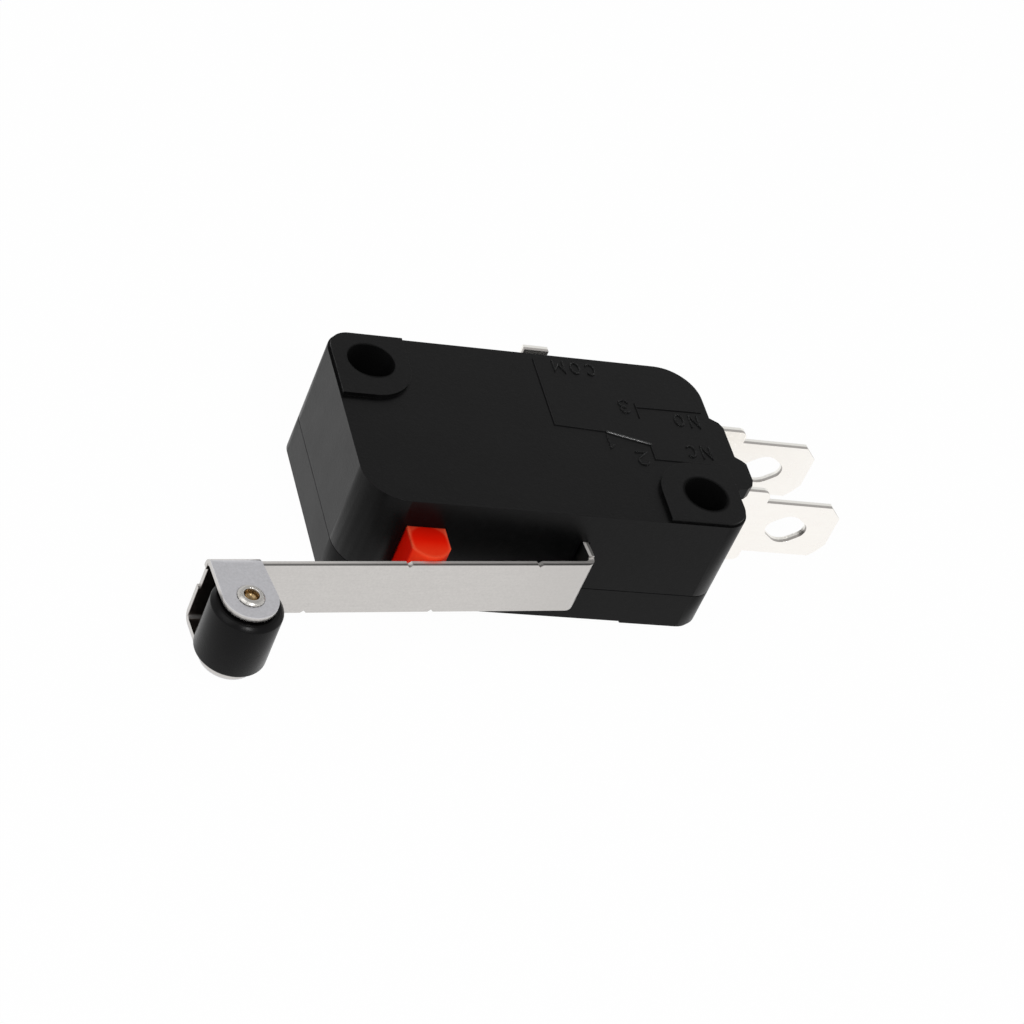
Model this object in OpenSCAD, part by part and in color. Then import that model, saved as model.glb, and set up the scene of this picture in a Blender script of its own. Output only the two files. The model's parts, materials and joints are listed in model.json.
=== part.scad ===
// Miniature basic switch with a hinged roller lever.
//
// The housing lies on its back, with the marked face up (+Z). X runs along the
// housing towards the normally-open and normally-closed tabs, and Y runs from
// the plunger face to the common-terminal face. The origin is on the axis of
// the round mounting hole, in the plane of the back mounting pads.

/* [Housing] */
// Length of the housing, plain end to terminal end
body_l = 27.8; // [27:0.1:32]
// Height of the housing, plunger face to common-terminal face
body_h = 15.9; // [15.6:0.1:18]
// Thickness over the mounting pads
body_t = 10.3; // [10:0.1:12]
// Wall of the moulded case and cover
wall = 1.2; // [1:0.1:1.4]
// Height of a mounting pad above the face round it
pad_h = 0.3; // [0.1:0.05:0.5]
// Height of the seam between the cover and the case
seam_z = 3.2; // [2.4:0.05:3.4]
// Depth and height of the groove along the seam
seam_groove = 0.05; // [0.04:0.01:0.2]
// Corner radius, plunger face to plain end
corner_plunger_r = 3.0; // [0.5:0.1:3.2]
// Corner radius, plain end to common-terminal face
corner_slot_r = 1.7; // [0.5:0.1:2.5]
// Corner radius, common-terminal face to terminal end
corner_common_r = 3.0; // [0.5:0.1:3.2]
// Corner radius, terminal end to plunger face
corner_hole_r = 1.8; // [0.5:0.1:2.5]

/* [Mounting holes] */
// Diameter of the round mounting hole and width of the slotted one
hole_d = 3.1; // [2.6:0.05:3.3]
// Distance of each hole centre from its two housing edges
hole_inset = 2.8; // [2.6:0.1:3]
// Extra length of the slotted hole along the housing
slot_play = 0.3; // [0.1:0.05:0.6]
// Plastic left round a mounting hole inside the housing
boss_wall = 1.0; // [0.7:0.05:1]
// Length of the pad at the slotted hole
slot_pad_l = 5.6; // [5:0.1:7]
// Height of the pad at the slotted hole
slot_pad_h = 6.2; // [5.5:0.1:7]
// Length of the pad at the round hole
hole_pad_l = 6.1; // [5:0.1:7]
// Height of the pad at the round hole
hole_pad_h = 5.85; // [5:0.1:7]
// Radius of each pad's inner corner
pad_corner_r = 3.1; // [0.5:0.1:3.2]
// Step from the housing's sides in to the pads
pad_inset = 0.15; // [0.05:0.01:0.25]

/* [Cover pegs] */
// Diameter of a cover peg
peg_d = 1.6; // [1.2:0.1:2]
// Height of a cover peg above the seam
peg_h = 2.2; // [1:0.1:4]
// Plastic round a peg socket
peg_wall = 0.7; // [0.5:0.05:0.9]
// Place of the front peg along the housing
front_peg_x = 11.0; // [9.5:0.1:13]

/* [Terminals] */
// Width of a quick-connect tab
tab_w = 4.75; // [4:0.05:5.2]
// Thickness of the terminal strip
tab_t = 0.5; // [0.4:0.05:0.8]
// Reach of a tab beyond the housing
tab_out = 10.2; // [8:0.1:13]
// Length of the tapered tip
tip_l = 1.05; // [0.4:0.05:1.5]
// Width of the tab at its tip
tip_w = 2.6; // [1.5:0.1:4]
// Length of the coined bevel at the tip
coin_l = 0.6; // [0.2:0.05:1]
// Thickness at the end of the bevel
coin_t = 0.2; // [0.1:0.05:0.35]
// Width of the shoulder that stops the receptacle
shoulder_w = 6.7; // [6:0.1:7]
// Reach of the shoulder beyond the housing
shoulder_out = 3.9; // [1.5:0.1:4.2]
// Corner radius of the shoulder
shoulder_r = 0.5; // [0.1:0.1:0.9]
// Length of the oblong hole in a tab
eye_l = 3.2; // [2.9:0.1:3.4]
// Width of the oblong hole in a tab, at its middle
eye_w = 2.55; // [1.7:0.05:2.8]
// Radius of the oblong hole's narrower ends
eye_end_r = 0.8; // [0.5:0.05:0.8]
// Distance of the oblong hole's centre from the housing
eye_out = 6.4; // [6.3:0.1:7]
// Near face of the normally-closed tab above the plunger face
nc_y = 5.43; // [5.35:0.01:5.6]
// Near face of the normally-open tab above the plunger face
no_y = 11.46; // [11.2:0.01:12]
// Width of the strips inside the housing
inner_w = 4.0; // [3.4:0.1:4.4]
// Place of the common terminal along the housing
common_x = 16.1; // [14:0.1:19]
// Reach of the common lug beyond the housing
lug_out = 3.8; // [2:0.1:6]
// Length of the common lug's foot
foot_l = 2.4; // [1.5:0.1:5]
// Width of the common strip where it leaves the housing
common_neck_w = 3.0; // [2:0.1:4.4]
// Bend radius of the strip, to the middle of its thickness
strip_bend_r = 0.6; // [0.45:0.05:0.8]

/* [Terminal hood] */
// Reach of the hood over the normally-closed tab
hood_out = 1.57; // [1:0.05:2]
// Reach of the hood towards the normally-open tab
hood_step = 0.85; // [0.4:0.05:1]
// Thickness of the hood
hood_t = 1.0; // [0.6:0.05:1.1]

/* [Contacts] */
// Distance of the contact line from the terminal end
contact_in = 5.6; // [5.4:0.1:6.2]
// Diameter of a contact head
contact_d = 2.8; // [2:0.1:3]
// Height of a fixed contact's head
fixed_head_h = 0.7; // [0.5:0.05:0.8]
// Height of each head of the moving contact
moving_head_h = 0.6; // [0.4:0.05:0.7]
// Open gap of the contacts
contact_gap = 0.95; // [0.7:0.05:1.1]
// Diameter of a contact's shank
shank_d = 1.2; // [0.8:0.1:1.4]
// Diameter of the closed end of a fixed contact
closed_d = 1.9; // [1.6:0.1:2.1]
// Height of the closed end of a fixed contact
closed_h = 0.25; // [0.15:0.05:0.4]

/* [Snap blade] */
// Thickness of the snap blade
blade_t = 0.15; // [0.1:0.01:0.2]
// Width of the snap blade
blade_w = 4.2; // [3.8:0.1:4.6]
// Width of the curved tongue
tongue_w = 2.0; // [1.6:0.1:2.2]
// Gap beside the tongue
tongue_gap = 0.2; // [0.15:0.05:0.3]
// Root of the tongue, measured from the contact line
tongue_root = 4.7; // [4:0.1:5.5]
// Radius of the tongue's curve
tongue_r = 7.5; // [6.5:0.1:10]
// Height of the tongue's seat above the blade
seat_rise = 1.35; // [1:0.05:1.7]
// Face of the tongue anchor along the housing
anchor_x = 9.4; // [8.6:0.1:10]
// Width of the tongue anchor
anchor_w = 2.6; // [2.2:0.1:3.4]
// Length of the tongue anchor's foot on the common strip
anchor_foot = 2.6; // [2:0.1:4]
// Depth of the seat cut in the tongue anchor
seat_cut = 0.2; // [0.1:0.05:0.3]
// Height of the blade's hooked end
hook_h = 1.0; // [0.6:0.1:1.4]

/* [Plunger] */
// Centre of the plunger along the housing
plunger_x = 4.75; // [4.4:0.05:5.2]
// Width of the plunger's head
plunger_w = 2.7; // [2.2:0.1:2.9]
// Depth of the plunger, across the housing's thickness
plunger_d = 5.1; // [4.4:0.1:5.6]
// Radius of the crowned tip
crown_r = 1.5; // [1.5:0.1:4]
// Overhang of the retaining flange on each side
flange_side = 0.75; // [0.3:0.05:0.9]
// Height of the retaining flange
flange_h = 1.1; // [0.6:0.1:1.6]
// Width of the stem
stem_w = 1.7; // [1.2:0.1:2]
// Depth of the stem
stem_d = 2.4; // [1.6:0.1:3]

/* [Lever] */
// Thickness of the lever
lever_t = 0.4; // [0.3:0.05:0.5]
// Width of the lever strip
lever_w = 4.4; // [4:0.1:4.8]
// Reach of the hinge leg above the middle of the housing
leg_up = 2.35; // [2.2:0.05:2.7]
// Reach of the hinge leg below the middle of the housing
leg_down = 1.3; // [0.8:0.1:2.2]
// Radius of the strip's lower corner at the hinge
strip_corner_r = 1.0; // [0.4:0.1:1.2]
// Place of the hinge along the housing
hinge_x = 16.25; // [15:0.05:18]
// Angle of the free lever to the plunger face
lever_open = 5.57; // [4:0.1:7]
// Distance from the hinge to the lever's outer face
lever_stand = 2.51; // [2:0.05:3]
// Bend radius of the lever, to the middle of its thickness
lever_bend_r = 0.5; // [0.4:0.05:1]
// Bend radius of the hook, to the middle of its thickness
hook_bend_r = 0.35; // [0.25:0.05:0.5]
// Length of the hook inside the housing
lever_hook = 1.1; // [0.7:0.1:1.5]
// Gap between the hook and the wall behind it
hook_clear = 0.55; // [0.4:0.05:0.8]
// Width of the hinge slot in the wall
hinge_slot_w = 0.7; // [0.62:0.02:0.9]
// Distance from the hinge to the roller axis along the lever
roller_reach = 25.7; // [22:0.1:30]
// Distance from the lever's outer face to the roller axis
roller_drop = 3.22; // [2.8:0.02:4.2]
// Radius of the fork's ears round the axle
ear_r = 1.85; // [1.5:0.05:2.3]
// Length of the fork's ears along the lever
ear_l = 3.4; // [3:0.1:4]
// Bend radius of the ears, to the middle of the thickness
ear_bend_r = 0.55; // [0.3:0.05:0.6]
// Depth of the nicks in the lever's edges
nick_d = 0.2; // [0.1:0.05:0.4]
// Depth of the notch in the web's end
web_notch = 0.15; // [0.1:0.05:0.4]

/* [Roller] */
// Diameter of the roller
roller_d = 4.8; // [4:0.1:5]
// Width of the roller
roller_w = 4.6; // [4:0.1:6]
// Chamfer of the roller's rims
roller_rim = 0.3; // [0.1:0.05:0.6]
// Diameter of the axle
axle_d = 1.4; // [1:0.05:1.6]
// Diameter of the axle's flared heads
axle_head_d = 1.85; // [1.75:0.05:2.2]
// Height of the axle's flared heads
axle_head_h = 0.25; // [0.15:0.05:0.4]
// Diameter of the hollow in each end of the axle
axle_hollow_d = 0.95; // [0.4:0.05:1.05]
// Depth of the hollow in each end of the axle
axle_hollow_l = 0.6; // [0.5:0.1:2.4]

/* [Clearances] */
// Gap between faces that press on each other
touch = 0.03; // [0.02:0.005:0.05]
// Play of a terminal in its wall slot, each side
slot_fit = 0.05; // [0.03:0.01:0.1]
// Play of the plunger in its window, each side
plunger_fit = 0.1; // [0.05:0.01:0.2]
// Play of the lever's leg in its slot, each end
leg_fit = 0.1; // [0.05:0.01:0.2]
// Radial play of a riveted shank in its hole
rivet_fit = 0.02; // [0.01:0.005:0.04]
// Radial play of the roller on its axle
roller_fit = 0.06; // [0.02:0.01:0.1]
// Gap between the roller and each ear of the fork
roller_side = 0.15; // [0.1:0.05:0.5]
// Radial play of a cover peg in its socket
peg_fit = 0.04; // [0.02:0.01:0.08]

/* [Hidden] */
$fn = 64;

// Housing levels and inner reference lines
past = 1;
mid_z = body_t / 2;
face_z = body_t - pad_h;
ceiling_z = face_z - wall;
floor_z = pad_h + wall;
slot_hole = [hole_inset, body_h - hole_inset];
round_hole = [body_l - hole_inset, hole_inset];
boss_r = hole_d / 2 + boss_wall;
corner_radii = [corner_plunger_r, corner_hole_r, corner_common_r, corner_slot_r];

// Cover pegs: one by the front wall, one between the open tab and the far wall
peg_r = peg_d / 2;
peg_boss_r = peg_r + peg_wall;
front_peg = [front_peg_x, wall + peg_boss_r - slot_fit];
far_peg_y = (no_y + tab_t + body_h - wall) / 2 + slot_fit;
far_peg = [body_l - contact_in + peg_boss_r, far_peg_y];
pegs = [front_peg, far_peg];

// Contact stack, from the closed tab to the open strip
contact_x = body_l - contact_in;
closed_face_y = nc_y + tab_t + fixed_head_h;
blade_y = closed_face_y + touch + moving_head_h;
blade_top_y = blade_y + blade_t;
open_face_y = blade_top_y + moving_head_h + contact_gap + touch;
open_strip_y = open_face_y + fixed_head_h;
strip_end_x = contact_x - contact_d / 2 - 0.4;
neck_x = body_l - wall - 0.3;

// Common strip: along the far wall, round the slotted hole's boss, to the blade's hook
common_c = common_x + tab_t / 2;
common_bar_y = body_h - wall - slot_fit - tab_t / 2;
common_down_x = slot_hole[0] + slot_play / 2 + boss_r + 0.6 + tab_t / 2;
common_step_y = slot_hole[1] - boss_r - 0.5 - tab_t / 2;
post_x = wall + 0.7 + tab_t / 2;
post_end_y = blade_top_y + touch;
lug_y = body_h + lug_out - tab_t / 2;
seat_y = blade_top_y + seat_rise;
tongue_tip = [anchor_x + touch, seat_y];
tongue_start = [contact_x - tongue_root, blade_y + blade_t / 2];

// Lever, in its own frame: hinge at the origin, strip along -X
hinge_y = wall / 2;
lever_mid = lever_stand - lever_t / 2;
lever_in = lever_stand - lever_t;
hook_y = wall / 2 + hook_clear + lever_t / 2;
lever_tip = -roller_reach - ear_r;
fork_in = roller_w + 2 * roller_side;
fork_out = fork_in + 2 * lever_t;
axle_y = -lever_stand - roller_drop;
upper_nicks = [-4.0, -13.5];
lower_nicks = [-10.6, -19.7];

// Plunger: its crown meets the lever's inner face, its stem meets the blade
lever_line_y = hinge_y - lever_in / cos(lever_open) - (hinge_x - plunger_x) * tan(lever_open);
crown_y = lever_line_y + (crown_r + touch) / cos(lever_open);
flange_y = wall + slot_fit;

// Moves a piece from the housing's corner to the part's origin.
module at_origin() {
  translate([-round_hole[0], -round_hole[1], 0]) children();
}

// Moves a piece from the lever's own frame to its place on the housing.
module at_lever() {
  translate([hinge_x, hinge_y, mid_z]) rotate([0, 0, lever_open]) children();
}

// Rectangle from corner p to corner q with one radius per corner, counter-clockwise from p.
module rounded_rect(p, q, radii) {
  corners = [p, [q[0], p[1]], q, [p[0], q[1]]];
  inward = [[1, 1], [-1, 1], [-1, -1], [1, -1]];
  difference() {
    translate(p) square(q - p);
    for (i = [0:3]) if (radii[i] > 0) translate(corners[i]) square(2 * radii[i], center = true);
  }
  for (i = [0:3]) if (radii[i] > 0) translate(corners[i] + radii[i] * inward[i]) circle(r = radii[i]);
}

function heading(a, b) = (b - a) / norm(b - a);
function turned(v) = [-v[1], v[0]];

// Distance from a path's corner to the start of its bend.
function bend_trim(path, i, r) =
  (i == 0 || i == len(path) - 1) ? 0
  : r * tan(acos(heading(path[i - 1], path[i]) * heading(path[i], path[i + 1])) / 2);

// Side view of a strip of thickness t, folded along a path with bends of radius r.
module folded_strip(path, t, r) {
  for (i = [0:len(path) - 2]) {
    d = heading(path[i], path[i + 1]);
    side = turned(d) * t / 2;
    a = path[i] + d * bend_trim(path, i, r);
    b = path[i + 1] - d * bend_trim(path, i + 1, r);
    polygon([a - side, b - side, b + side, a + side]);
  }
  for (i = [1:len(path) - 2]) {
    before = heading(path[i - 1], path[i]);
    after = heading(path[i], path[i + 1]);
    to_centre = turned(before) * sign(cross(before, after));
    from_centre = turned(after) * sign(cross(before, after));
    centre = path[i] - before * bend_trim(path, i, r) + to_centre * r;
    reach = 2 * (r + t);
    translate(centre) intersection() {
      difference() {
        circle(r = r + t / 2);
        circle(r = r - t / 2);
      }
      polygon([[0, 0], -to_centre * reach, (-to_centre - from_centre) * reach, -from_centre * reach]);
    }
  }
}

// Raises a side view drawn in X and Y to a width centred on the housing's middle.
module across(w) {
  translate([0, 0, mid_z - w / 2]) linear_extrude(w) children();
}

// Lays a flat pattern drawn in X and Z into a sheet of thickness t at height y.
module sheet_at(y, t) {
  translate([0, y + t, mid_z]) rotate([90, 0, 0]) linear_extrude(t) children();
}

// Outline of the housing, drawn in from its sides by inset.
module body_outline(inset = 0) {
  rounded_rect([inset, inset], [body_l - inset, body_h - inset], [for (r = corner_radii) max(r - inset, 0.3)]);
}

module pads() {
  intersection() {
    body_outline(pad_inset);
    union() {
      rounded_rect([0, body_h - slot_pad_h], [slot_pad_l, body_h], [0, pad_corner_r, 0, 0]);
      rounded_rect([body_l - hole_pad_l, 0], [body_l, hole_pad_h], [0, 0, 0, pad_corner_r]);
    }
  }
}

// Room inside the walls, less the columns round the holes and the pegs.
module room() {
  difference() {
    body_outline(wall);
    translate(slot_hole) square([2 * boss_r + slot_play, 2 * boss_r], center = true);
    translate([0, slot_hole[1] - boss_r]) square([slot_hole[0] + boss_r, body_h]);
    translate(round_hole) circle(r = boss_r);
    translate([round_hole[0], -past]) square([body_l, round_hole[1] + past]);
    translate([round_hole[0], round_hole[1]]) square([body_l, boss_r]);
    translate([round_hole[0] - boss_r, -past]) square([2 * boss_r, round_hole[1] + past]);
  }
}

// Columns that carry the peg sockets, and the rib behind the open strip.
module inner_columns() {
  translate(front_peg) circle(r = peg_boss_r);
  translate(front_peg - [peg_boss_r, peg_boss_r + slot_fit]) square([2 * peg_boss_r, peg_boss_r + slot_fit]);
  translate(far_peg) circle(r = peg_boss_r);
  translate(far_peg - [peg_boss_r, 0]) square([2 * peg_boss_r, body_h - wall - far_peg[1] + slot_fit]);
  translate([strip_end_x, open_strip_y + tab_t + closed_h + slot_fit])
    square([contact_d / 2, body_h - wall - open_strip_y - tab_t - closed_h]);
}

module mounting_holes() {
  translate([round_hole[0], round_hole[1], -past]) cylinder(d = hole_d, h = body_t + 2 * past);
  for (side = [-1, 1]) {
    translate([slot_hole[0] + side * slot_play / 2, slot_hole[1], -past])
      cylinder(d = hole_d, h = body_t + 2 * past);
  }
  translate([slot_hole[0] - slot_play / 2, slot_hole[1] - hole_d / 2, -past])
    cube([slot_play, hole_d, body_t + 2 * past]);
}

// Cuts through the walls for the terminals, the plunger and the lever's leg.
module wall_cuts() {
  for (y = [nc_y, no_y]) {
    translate([body_l - wall - past, y - slot_fit, mid_z - shoulder_w / 2 - slot_fit])
      cube([wall + 2 * past, tab_t + 2 * slot_fit, shoulder_w + 2 * slot_fit]);
  }
  translate([common_x - slot_fit, body_h - wall - past, mid_z - common_neck_w / 2 - slot_fit])
    cube([tab_t + 2 * slot_fit, wall + 2 * past, common_neck_w + 2 * slot_fit]);
  translate([common_c - strip_bend_r, body_h - wall - past, mid_z - common_neck_w / 2 - slot_fit])
    cube([strip_bend_r, past + strip_bend_r - tab_t / 2, common_neck_w + 2 * slot_fit]);
  translate([plunger_x - plunger_w / 2 - plunger_fit, -past, mid_z - plunger_d / 2 - plunger_fit])
    cube([plunger_w + 2 * plunger_fit, wall + 2 * past, plunger_d + 2 * plunger_fit]);
  translate([hinge_x - hinge_slot_w / 2, -past, mid_z - leg_down - leg_fit])
    cube([hinge_slot_w, wall + 2 * past, leg_up + leg_down + 2 * leg_fit]);
}

// Shelf of the case over the roots of the tabs.
module hood() {
  low_y = nc_y - 1.95;
  high_y = no_y - 0.5;
  translate([body_l - wall / 2, 0, face_z - hood_t]) linear_extrude(hood_t) polygon([
    [0, low_y],
    [wall / 2, low_y],
    [wall / 2 + 0.3, nc_y - 1.5],
    [wall / 2 + hood_out * 0.6, nc_y - 1.4],
    [wall / 2 + hood_out * 0.87, nc_y - 1.05],
    [wall / 2 + hood_out, nc_y - 0.5],
    [wall / 2 + hood_out, nc_y + 1.1],
    [wall / 2 + hood_out - 0.25, nc_y + 1.4],
    [wall / 2 + hood_step, nc_y + 1.75],
    [wall / 2 + hood_step, high_y - 0.9],
    [wall / 2 + hood_step - 0.25, high_y - 0.4],
    [wall / 2, high_y],
    [0, high_y]
  ]);
}

module case() {
  color("#262628") difference() {
    union() {
      translate([0, 0, seam_z]) linear_extrude(seam_groove) body_outline(seam_groove);
      translate([0, 0, seam_z + seam_groove]) linear_extrude(face_z - seam_z - seam_groove) body_outline();
      translate([0, 0, face_z]) linear_extrude(pad_h) pads();
      hood();
    }
    translate([0, 0, seam_z - past]) linear_extrude(ceiling_z - seam_z + past) difference() {
      room();
      inner_columns();
    }
    mounting_holes();
    wall_cuts();
    for (p = pegs) translate([p[0], p[1], seam_z - past]) cylinder(r = peg_r + peg_fit, h = peg_h + 0.2 + past);
  }
}

module cover() {
  color("#2b2b2d") difference() {
    union() {
      translate([0, 0, pad_h]) linear_extrude(seam_z - pad_h) body_outline();
      linear_extrude(pad_h) pads();
    }
    translate([0, 0, floor_z]) linear_extrude(seam_z) room();
    mounting_holes();
    wall_cuts();
  }
  color("#2b2b2d") for (p = pegs) translate([p[0], p[1], floor_z - wall / 2])
    cylinder(r = peg_r, h = seam_z + peg_h - floor_z + wall / 2);
}

module plunger() {
  color("#c81a05") union() {
    across(plunger_d) intersection() {
      union() {
        translate([plunger_x, crown_y]) circle(r = crown_r);
        translate([plunger_x - plunger_w / 2, crown_y]) square([plunger_w, flange_y + flange_h - crown_y]);
      }
      translate([plunger_x - plunger_w / 2, crown_y - crown_r])
        square([plunger_w, flange_y + flange_h - crown_y + crown_r]);
    }
    across(plunger_d) translate([plunger_x - plunger_w / 2 - flange_side, flange_y])
      square([plunger_w + 2 * flange_side, flange_h]);
    across(stem_d) translate([plunger_x - stem_w / 2, flange_y])
      square([stem_w, blade_y - touch - stem_w / 2 - flange_y]);
    across(stem_d) translate([plunger_x, blade_y - touch - stem_w / 2]) circle(d = stem_w);
  }
}

// Side view of a fork ear and the web above it, in the lever's frame.
module ear_outline() {
  web_end = lever_tip + ear_l;
  translate([lever_tip, -lever_stand]) square([ear_l, lever_t]);
  polygon([
    [lever_tip, -lever_stand + lever_t / 2],
    [lever_tip, axle_y],
    [lever_tip + 2 * ear_r, axle_y],
    [web_end, -lever_stand + lever_t / 2]
  ]);
  translate([-roller_reach, axle_y]) circle(r = ear_r);
}

// Web and both ears, folded as one channel and trimmed to the ears' outline.
module fork() {
  half = (fork_out - lever_t) / 2;
  tip_y = axle_y - ear_r - past;
  intersection() {
    translate([lever_tip - past, 0, 0]) rotate([90, 0, 90]) linear_extrude(2 * ear_r + 2 * past)
      folded_strip([[tip_y, -half], [-lever_mid, -half], [-lever_mid, half], [tip_y, half]], lever_t, ear_bend_r);
    translate([0, 0, -fork_out]) linear_extrude(2 * fork_out) ear_outline();
  }
}

// Notches that the lever's edges and its free end carry.
module lever_cuts() {
  edges = [for (x = upper_nicks) [x, 1], for (x = lower_nicks) [x, -1]];
  for (e = edges) translate([e[0], -lever_mid, e[1] * lever_w / 2]) rotate([90, 45, 0])
    cube([nick_d * sqrt(2), nick_d * sqrt(2), 2 * lever_t], center = true);
  translate([lever_tip - past, -lever_stand - past, web_notch])
    cube([past + web_notch, past + lever_t + past, fork_in / 2 - ear_bend_r - web_notch]);
}

// Flat strip with its rounded lower corner, ending in the bend to the leg.
module lever_strip() {
  intersection() {
    translate([0, 0, -lever_w / 2]) linear_extrude(lever_w) folded_strip(
      [[lever_tip + ear_l - lever_t, -lever_mid], [0, -lever_mid], [0, -lever_mid + lever_bend_r + lever_t]],
      lever_t, lever_bend_r);
    translate([0, past, 0]) rotate([90, 0, 0]) linear_extrude(lever_stand + 2 * past)
      rounded_rect([lever_tip, -lever_w / 2], [lever_t, lever_w / 2], [0, strip_corner_r, 0, 0]);
  }
}

// Leg through the wall slot, and the hook that holds it behind the wall.
module lever_leg() {
  translate([0, 0, -leg_down]) linear_extrude(leg_up + leg_down) folded_strip(
    [[0, -lever_mid + lever_bend_r], [0, hook_y], [lever_hook, hook_y]], lever_t, hook_bend_r);
}

module lever() {
  color("#c4c0bc") at_lever() difference() {
    union() {
      lever_strip();
      lever_leg();
      fork();
    }
    translate([-roller_reach, axle_y, -fork_out]) cylinder(r = axle_d / 2 + rivet_fit, h = 2 * fork_out);
    lever_cuts();
  }
}

module roller_axle() {
  half = fork_out / 2;
  end = half + axle_head_h;
  hollow_r = axle_hollow_d / 2;
  head_r = axle_head_d / 2;
  rim = head_r - hollow_r;
  side = [
    [0, axle_hollow_l - end],
    [hollow_r * 0.55, axle_hollow_l - 0.05 - end],
    [hollow_r * 0.9, axle_hollow_l * 0.7 - end],
    [hollow_r, axle_hollow_l * 0.4 - end],
    [hollow_r + rim * 0.08, axle_head_h * 0.2 - end],
    [hollow_r + rim * 0.3, -end],
    [hollow_r + rim * 0.55, axle_head_h * 0.1 - end],
    [hollow_r + rim * 0.82, axle_head_h * 0.45 - end],
    [head_r, axle_head_h * 0.85 - end],
    [head_r, -half],
    [axle_d / 2, -half]
  ];
  mirrored = [for (i = [len(side) - 1:-1:0]) [side[i][0], -side[i][1]]];
  color("#b9b6b0") at_lever() translate([-roller_reach, axle_y, 0])
    rotate_extrude() polygon(concat(side, mirrored));
}

module roller() {
  bore_r = axle_d / 2 + roller_fit;
  r = roller_d / 2;
  half = roller_w / 2;
  color("#202022") at_lever() translate([-roller_reach, axle_y, 0]) rotate_extrude() polygon([
    [bore_r, -half],
    [r - roller_rim, -half],
    [r, roller_rim - half],
    [r, half - roller_rim],
    [r - roller_rim, half],
    [bore_r, half]
  ]);
}

// Tab, shoulder and neck of a side terminal, flat in X and Z.
module tab_pattern() {
  tip_x = body_l + tab_out;
  shoulder_x = body_l + shoulder_out;
  rounded_rect([neck_x, -shoulder_w / 2], [shoulder_x, shoulder_w / 2], [0, shoulder_r, shoulder_r, 0]);
  polygon([
    [shoulder_x - shoulder_r, -tab_w / 2],
    [tip_x - tip_l, -tab_w / 2],
    [tip_x, -tip_w / 2],
    [tip_x, tip_w / 2],
    [tip_x - tip_l, tab_w / 2],
    [shoulder_x - shoulder_r, tab_w / 2]
  ]);
}

// Oblong hole of a tab.
module tab_eye() {
  run = eye_l / 2 - eye_end_r;
  lean = (eye_w / 2 - eye_end_r) / run;
  rise = sqrt(1 - lean * lean);
  middle = [lean, rise] * eye_w / 2;
  end = [run, 0] + [lean, rise] * eye_end_r;
  translate([body_l + eye_out, 0]) {
    circle(d = eye_w);
    for (side = [-1, 1]) translate([side * run, 0]) circle(r = eye_end_r);
    polygon([
      middle, end, [end[0], -end[1]], [middle[0], -middle[1]],
      -middle, -end, [-end[0], end[1]], [-middle[0], middle[1]]
    ]);
  }
}

// Tab with its coined tip, near face at height y.
module tab_at(y) {
  tip_x = body_l + tab_out;
  intersection() {
    sheet_at(y, tab_t) difference() {
      tab_pattern();
      tab_eye();
    }
    across(shoulder_w + past) translate([0, y]) polygon([
      [neck_x, 0],
      [tip_x - coin_l, 0],
      [tip_x, (tab_t - coin_t) / 2],
      [tip_x, (tab_t + coin_t) / 2],
      [tip_x - coin_l, tab_t],
      [neck_x, tab_t]
    ]);
  }
}

// Hole for a contact's shank through a strip that starts at height y.
module shank_hole(y, t) {
  translate([contact_x, y - past, mid_z]) rotate([-90, 0, 0])
    cylinder(r = shank_d / 2 + rivet_fit, h = t + 2 * past);
}

module normally_closed_terminal() {
  color("#d8c9a0") difference() {
    union() {
      tab_at(nc_y);
      sheet_at(nc_y, tab_t) translate([strip_end_x, -inner_w / 2])
        square([neck_x - strip_end_x + past / 2, inner_w]);
    }
    shank_hole(nc_y, tab_t);
  }
}

module normally_open_terminal() {
  crank_x = neck_x - strip_bend_r;
  color("#d8c9a0") difference() {
    union() {
      tab_at(no_y);
      across(inner_w) folded_strip([
        [strip_end_x, open_strip_y + tab_t / 2],
        [crank_x - strip_bend_r / 2, open_strip_y + tab_t / 2],
        [crank_x - strip_bend_r / 2, no_y + tab_t / 2],
        [neck_x + past / 2, no_y + tab_t / 2]
      ], tab_t, strip_bend_r);
    }
    shank_hole(open_strip_y, tab_t);
  }
}

// Riveted contact: domed head, shank through a sheet of thickness grip, closed end.
module contact_rivet(head_h, grip, end_d, end_h) {
  head_r = contact_d / 2;
  end_r = end_d / 2;
  rotate_extrude() polygon([
    [0, -head_h],
    [head_r * 0.7, -head_h],
    [head_r, -head_h * 0.6],
    [head_r, 0],
    [shank_d / 2, 0],
    [shank_d / 2, grip],
    [end_r, grip],
    [end_r, grip + end_h * 0.4],
    [end_r * 0.7, grip + end_h],
    [0, grip + end_h]
  ]);
}

module normally_closed_contact() {
  color("#dcdcda") translate([contact_x, nc_y + tab_t, mid_z]) rotate([90, 0, 0])
    contact_rivet(fixed_head_h, tab_t, closed_d, closed_h);
}

module normally_open_contact() {
  color("#dcdcda") translate([contact_x, open_strip_y, mid_z]) rotate([-90, 0, 0])
    contact_rivet(fixed_head_h, tab_t, closed_d, closed_h);
}

module moving_contact() {
  color("#e2e2e0") translate([contact_x, blade_y, mid_z]) rotate([-90, 0, 0])
    contact_rivet(moving_head_h, blade_t, contact_d, moving_head_h);
}

module common_terminal() {
  color("#d8c9a0") union() {
    across(common_neck_w) folded_strip([
      [common_x + foot_l, lug_y],
      [common_c, lug_y],
      [common_c, common_bar_y],
      [common_c - 2 * strip_bend_r, common_bar_y]
    ], tab_t, strip_bend_r);
    across(tab_w) translate([common_x + tab_t, lug_y - tab_t / 2]) square([foot_l - tab_t, tab_t]);
    across(tab_w) folded_strip([
      [common_c - strip_bend_r, common_bar_y],
      [common_down_x, common_bar_y],
      [common_down_x, common_step_y],
      [post_x, common_step_y],
      [post_x, post_end_y]
    ], tab_t, strip_bend_r);
  }
}

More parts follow.
